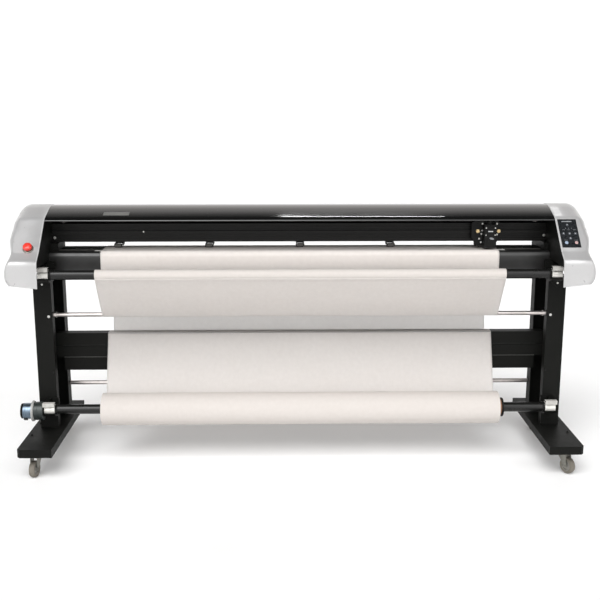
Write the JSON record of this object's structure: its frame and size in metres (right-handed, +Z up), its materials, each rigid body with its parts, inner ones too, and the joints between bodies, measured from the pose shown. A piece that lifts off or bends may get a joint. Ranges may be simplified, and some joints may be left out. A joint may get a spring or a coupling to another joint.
{
  "type": "printer cutter",
  "caption": "Free-standing wide-format roll printer cutter with moving carriage, take-up bar, supply roll and caster stand.",
  "frame": {"origin": "on the floor under the middle of the machine's bounding box", "axes": "+X to the operator's right, along the carriage beam; +Y from the operator's side to the back; +Z up"},
  "size_m": [2.58, 0.696, 1.1876],
  "materials": {
    "powder_black": "satin powder coat",
    "gloss_black": "high gloss",
    "cover_silver": "satin metallic moulded plastic",
    "black_plastic": "satin",
    "steel": "brushed",
    "grey_rubber": "matte",
    "black_rubber": "matte",
    "paper": "uncoated roll paper",
    "red_plastic": "semi gloss",
    "panel_film": "semi gloss film",
    "key_grey": "satin"
  },
  "bodies": {
    "root": {"left_foot": "powder_black", "right_foot": "powder_black", "left_leg": "powder_black", "right_leg": "powder_black", "crossbeam": "powder_black", "left_side_plate": "powder_black", "right_side_plate": "powder_black", "left_end_cover": "cover_silver", "right_end_cover": "cover_silver", "hood": "gloss_black", "carriage_beam": "powder_black", "platen": "powder_black", "apron": "gloss_black", "upper_guide_rod": "steel", "lower_guide_rod": "steel", "feed_motor": "black_plastic", "carriage_belt": "black_rubber", "carriage_motor": "black_plastic", "left_takeup_bracket": "powder_black", "right_takeup_bracket": "powder_black", "left_supply_bracket": "powder_black", "right_supply_bracket": "powder_black", "supply_motor": "black_plastic", "control_panel": "panel_film", "electronics_box": "black_plastic", "supply_sheet": "paper", "rear_sheet": "paper", "table_sheet": "paper", "front_sheet": "paper"},
    "caster_front_left": {"caster_fork_front_left": "steel"},
    "wheel_front_left": {"caster_wheel_front_left": "grey_rubber"},
    "caster_front_right": {"caster_fork_front_right": "steel"},
    "wheel_front_right": {"caster_wheel_front_right": "grey_rubber"},
    "caster_rear_left": {"caster_fork_rear_left": "steel"},
    "wheel_rear_left": {"caster_wheel_rear_left": "grey_rubber"},
    "caster_rear_right": {"caster_fork_rear_right": "steel"},
    "wheel_rear_right": {"caster_wheel_rear_right": "grey_rubber"},
    "carriage": {"carriage": "black_plastic"},
    "tool": {"tool_holder": "black_plastic"},
    "drive_pulley": {"drive_pulley": "steel"},
    "idler_pulley": {"idler_pulley": "steel"},
    "drive_roller": {"drive_roller": "steel"},
    "pinch_lift": {"pinch_lift_bar": "powder_black"},
    "pinch_1": {"pinch_roller_1": "black_rubber"},
    "pinch_2": {"pinch_roller_2": "black_rubber"},
    "pinch_3": {"pinch_roller_3": "black_rubber"},
    "pinch_4": {"pinch_roller_4": "black_rubber"},
    "pinch_5": {"pinch_roller_5": "black_rubber"},
    "takeup": {"takeup_bar": "powder_black"},
    "supply": {"supply_shaft": "powder_black", "supply_paper_roll": "paper", "core_flange": "black_plastic"},
    "key_up": {"key_up": "key_grey"},
    "key_left": {"key_left": "key_grey"},
    "key_enter": {"key_enter": "key_grey"},
    "key_right": {"key_right": "key_grey"},
    "key_down": {"key_down": "key_grey"},
    "key_pause": {"key_pause": "key_grey"},
    "key_stop": {"key_stop": "key_grey"},
    "estop": {"estop_button": "red_plastic"}
  },
  "joints": [
    {"name": "caster_swivel_front_left", "type": "hinge", "parent": "root", "child": "caster_front_left", "pos_m": [-1.198, -0.266, 0.1], "axis": [0, 0, 1], "continuous": true},
    {"name": "wheel_spin_front_left", "type": "hinge", "parent": "caster_front_left", "child": "wheel_front_left", "pos_m": [-1.20182, -0.28767, 0.0375], "axis": [-0.9848, 0.1736, 0], "continuous": true},
    {"name": "caster_swivel_front_right", "type": "hinge", "parent": "root", "child": "caster_front_right", "pos_m": [1.198, -0.266, 0.1], "axis": [0, 0, 1], "continuous": true},
    {"name": "wheel_spin_front_right", "type": "hinge", "parent": "caster_front_right", "child": "wheel_front_right", "pos_m": [1.209, -0.28505, 0.0375], "axis": [-0.866, -0.5, 0], "continuous": true},
    {"name": "caster_swivel_rear_left", "type": "hinge", "parent": "root", "child": "caster_rear_left", "pos_m": [-1.198, 0.266, 0.1], "axis": [0, 0, 1], "continuous": true},
    {"name": "wheel_spin_rear_left", "type": "hinge", "parent": "caster_rear_left", "child": "wheel_rear_left", "pos_m": [-1.198, 0.288, 0.0375], "axis": [1, 0, 0], "continuous": true},
    {"name": "caster_swivel_rear_right", "type": "hinge", "parent": "root", "child": "caster_rear_right", "pos_m": [1.198, 0.266, 0.1], "axis": [0, 0, 1], "continuous": true},
    {"name": "wheel_spin_rear_right", "type": "hinge", "parent": "caster_rear_right", "child": "wheel_rear_right", "pos_m": [1.198, 0.288, 0.0375], "axis": [1, 0, 0], "continuous": true},
    {"name": "carriage_slide", "type": "slide", "parent": "root", "child": "carriage", "axis": [1, 0, 0], "range_m": [-1.868, 0.152]},
    {"name": "tool_lift", "type": "slide", "parent": "carriage", "child": "tool", "axis": [0, 0, 1], "range_m": [-0.0035, 0], "stiffness_N_per_m": 600, "springref_m": 0.004},
    {"name": "drive_pulley_spin", "type": "hinge", "parent": "root", "child": "drive_pulley", "pos_m": [1.105, 0.095, 1.11], "axis": [0, 0, 1], "continuous": true},
    {"name": "idler_pulley_spin", "type": "hinge", "parent": "root", "child": "idler_pulley", "pos_m": [-1.105, 0.095, 1.11], "axis": [0, 0, 1], "continuous": true},
    {"name": "drive_roller_spin", "type": "hinge", "parent": "root", "child": "drive_roller", "pos_m": [0, 0.085, 0.9695], "axis": [1, 0, 0], "continuous": true},
    {"name": "pinch_lift", "type": "hinge", "parent": "root", "child": "pinch_lift", "pos_m": [0, 0.15, 1.03], "axis": [-1, 0, 0], "range_deg": [0, 6]},
    {"name": "pinch_spin_1", "type": "hinge", "parent": "pinch_lift", "child": "pinch_1", "pos_m": [-0.851, 0.085, 0.9937], "axis": [1, 0, 0], "continuous": true},
    {"name": "pinch_spin_2", "type": "hinge", "parent": "pinch_lift", "child": "pinch_2", "pos_m": [-0.4255, 0.085, 0.9937], "axis": [1, 0, 0], "continuous": true},
    {"name": "pinch_spin_3", "type": "hinge", "parent": "pinch_lift", "child": "pinch_3", "pos_m": [0, 0.085, 0.9937], "axis": [1, 0, 0], "continuous": true},
    {"name": "pinch_spin_4", "type": "hinge", "parent": "pinch_lift", "child": "pinch_4", "pos_m": [0.4255, 0.085, 0.9937], "axis": [1, 0, 0], "continuous": true},
    {"name": "pinch_spin_5", "type": "hinge", "parent": "pinch_lift", "child": "pinch_5", "pos_m": [0.851, 0.085, 0.9937], "axis": [1, 0, 0], "continuous": true},
    {"name": "takeup_spin", "type": "hinge", "parent": "root", "child": "takeup", "pos_m": [0, -0.163, 0.9], "axis": [1, 0, 0], "continuous": true},
    {"name": "supply_spin", "type": "hinge", "parent": "root", "child": "supply", "pos_m": [0, -0.123, 0.262], "axis": [1, 0, 0], "continuous": true},
    {"name": "press_key_up", "type": "slide", "parent": "root", "child": "key_up", "axis": [0, 0.7071, -0.7071], "range_m": [0, 0.0008], "stiffness_N_per_m": 400, "springref_m": -0.0005},
    {"name": "press_key_left", "type": "slide", "parent": "root", "child": "key_left", "axis": [0, 0.7071, -0.7071], "range_m": [0, 0.0008], "stiffness_N_per_m": 400, "springref_m": -0.0005},
    {"name": "press_key_enter", "type": "slide", "parent": "root", "child": "key_enter", "axis": [0, 0.7071, -0.7071], "range_m": [0, 0.0008], "stiffness_N_per_m": 400, "springref_m": -0.0005},
    {"name": "press_key_right", "type": "slide", "parent": "root", "child": "key_right", "axis": [0, 0.7071, -0.7071], "range_m": [0, 0.0008], "stiffness_N_per_m": 400, "springref_m": -0.0005},
    {"name": "press_key_down", "type": "slide", "parent": "root", "child": "key_down", "axis": [0, 0.7071, -0.7071], "range_m": [0, 0.0008], "stiffness_N_per_m": 400, "springref_m": -0.0005},
    {"name": "press_key_pause", "type": "slide", "parent": "root", "child": "key_pause", "axis": [0, 0.7071, -0.7071], "range_m": [0, 0.0008], "stiffness_N_per_m": 400, "springref_m": -0.0005},
    {"name": "press_key_stop", "type": "slide", "parent": "root", "child": "key_stop", "axis": [0, 0.7071, -0.7071], "range_m": [0, 0.0008], "stiffness_N_per_m": 400, "springref_m": -0.0005},
    {"name": "press_estop", "type": "slide", "parent": "root", "child": "estop", "axis": [0, 0.7071, -0.7071], "range_m": [0, 0.004], "stiffness_N_per_m": 800, "springref_m": -0.001}
  ],
  "couplings": [
    {"joint": "drive_pulley_spin", "follows": "carriage_slide", "rad_per_m": 76.336},
    {"joint": "idler_pulley_spin", "follows": "carriage_slide", "rad_per_m": 76.336},
    {"joint": "pinch_spin_1", "follows": "drive_roller_spin", "ratio": -1.25},
    {"joint": "pinch_spin_2", "follows": "drive_roller_spin", "ratio": -1.25},
    {"joint": "pinch_spin_3", "follows": "drive_roller_spin", "ratio": -1.25},
    {"joint": "pinch_spin_4", "follows": "drive_roller_spin", "ratio": -1.25},
    {"joint": "pinch_spin_5", "follows": "drive_roller_spin", "ratio": -1.25}
  ]
}
